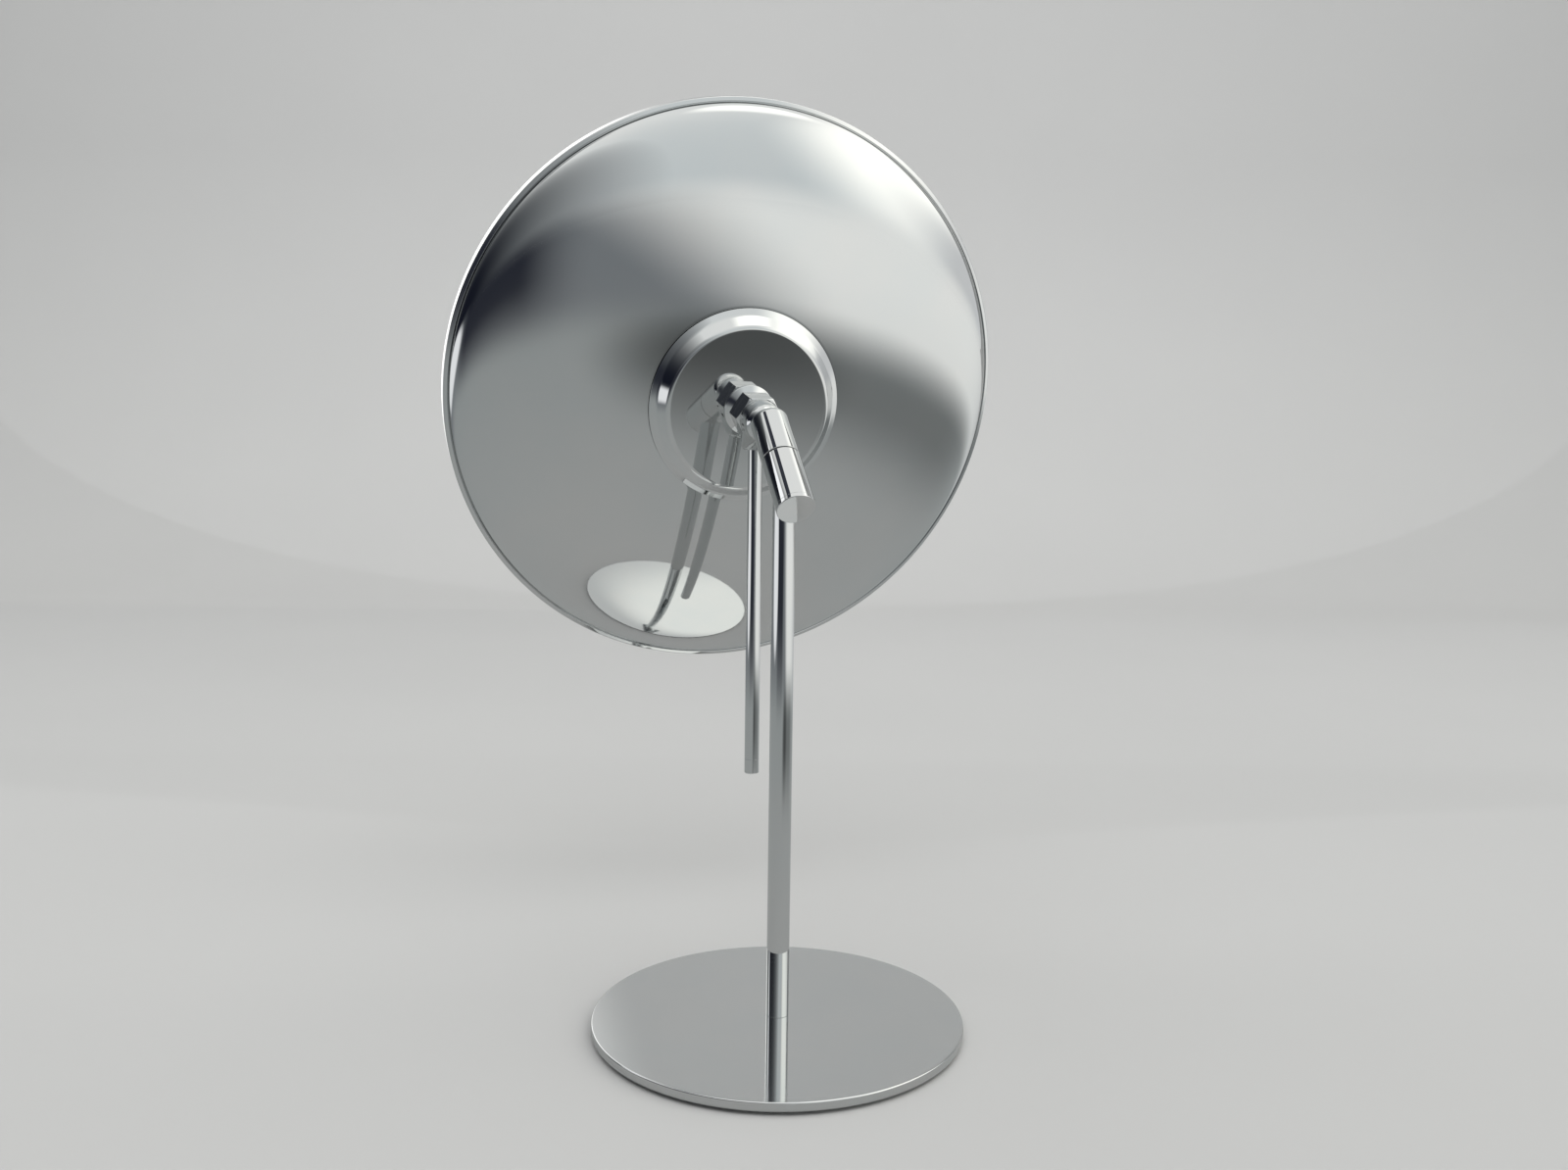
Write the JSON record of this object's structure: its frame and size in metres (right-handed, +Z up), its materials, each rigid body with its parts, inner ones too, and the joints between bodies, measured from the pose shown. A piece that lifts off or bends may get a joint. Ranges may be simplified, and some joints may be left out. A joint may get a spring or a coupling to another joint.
{
  "type": "extendable shaving mirror",
  "caption": "Freestanding shaving mirror: round mirror in a domed shell on a ball joint, on a sliding rod held by an inclined swivel head on a slim post with a flat round foot.",
  "frame": {"origin": "centre of the underside of the foot's pad, on the post's axis", "axes": "+Z up along the post, the glass faces -Y and leans back, X to the side; every joint axis of the mechanism lies in x = 0"},
  "size_m": [0.2392, 0.1794, 0.3649],
  "materials": {
    "chrome": "polished chrome plate",
    "mirror": "silvered glass",
    "steel": "plain zinc-plated steel",
    "brass": "turned brass",
    "nylon": "natural nylon",
    "black_plastic": "moulded, matt",
    "rubber": "matt non-slip",
    "foam": "closed-cell foam tape"
  },
  "bodies": {
    "stand": {"base_pad": "rubber", "base_disc": "chrome", "base_washer": "steel", "base_screw": "steel", "post": "chrome", "post_head": "chrome", "head_cap": "chrome"},
    "swivel": {"spindle": "steel", "spindle_nut": "steel", "cone_washer_a": "steel", "cone_washer_b": "steel", "friction_washer": "black_plastic", "swivel_head": "chrome", "eye_bush": "nylon"},
    "slider": {"rod": "chrome", "rod_button": "chrome", "knuckle": "chrome", "lock_nut": "chrome", "ball_stud": "steel"},
    "ball_tilt": {"ball_liner": "nylon"},
    "ball_pan": {"cup": "brass"},
    "mirror_head": {"cup_spring": "steel", "cup_plug": "brass", "socket_ring": "chrome", "boss_plate": "chrome", "back_shell": "chrome", "boss_screw_1": "steel", "boss_screw_2": "steel", "boss_screw_3": "steel", "backing_plate": "black_plastic", "glass_pad": "foam", "mirror_glass": "mirror", "rim_ring": "chrome"}
  },
  "joints": [
    {"name": "arm_swivel", "type": "hinge", "parent": "stand", "child": "swivel", "pos_m": [0, 0, 0.2174], "axis": [0, -0.7071, 0.7071], "range_deg": [-180, 180]},
    {"name": "rod_slide", "type": "slide", "parent": "swivel", "child": "slider", "axis": [0, 0, 1], "range_m": [0, 0.12]},
    {"name": "mirror_tilt", "type": "hinge", "parent": "slider", "child": "ball_tilt", "pos_m": [0, -0.0465, 0.24223], "axis": [1, 0, 0], "range_deg": [-12, 12]},
    {"name": "mirror_pan", "type": "hinge", "parent": "ball_tilt", "child": "ball_pan", "pos_m": [0, -0.0465, 0.24223], "axis": [0, 0.2756, 0.9613], "range_deg": [-12, 12]},
    {"name": "mirror_spin", "type": "hinge", "parent": "ball_pan", "child": "mirror_head", "pos_m": [0, -0.0465, 0.24223], "axis": [0, -0.9613, 0.2756], "continuous": true}
  ]
}
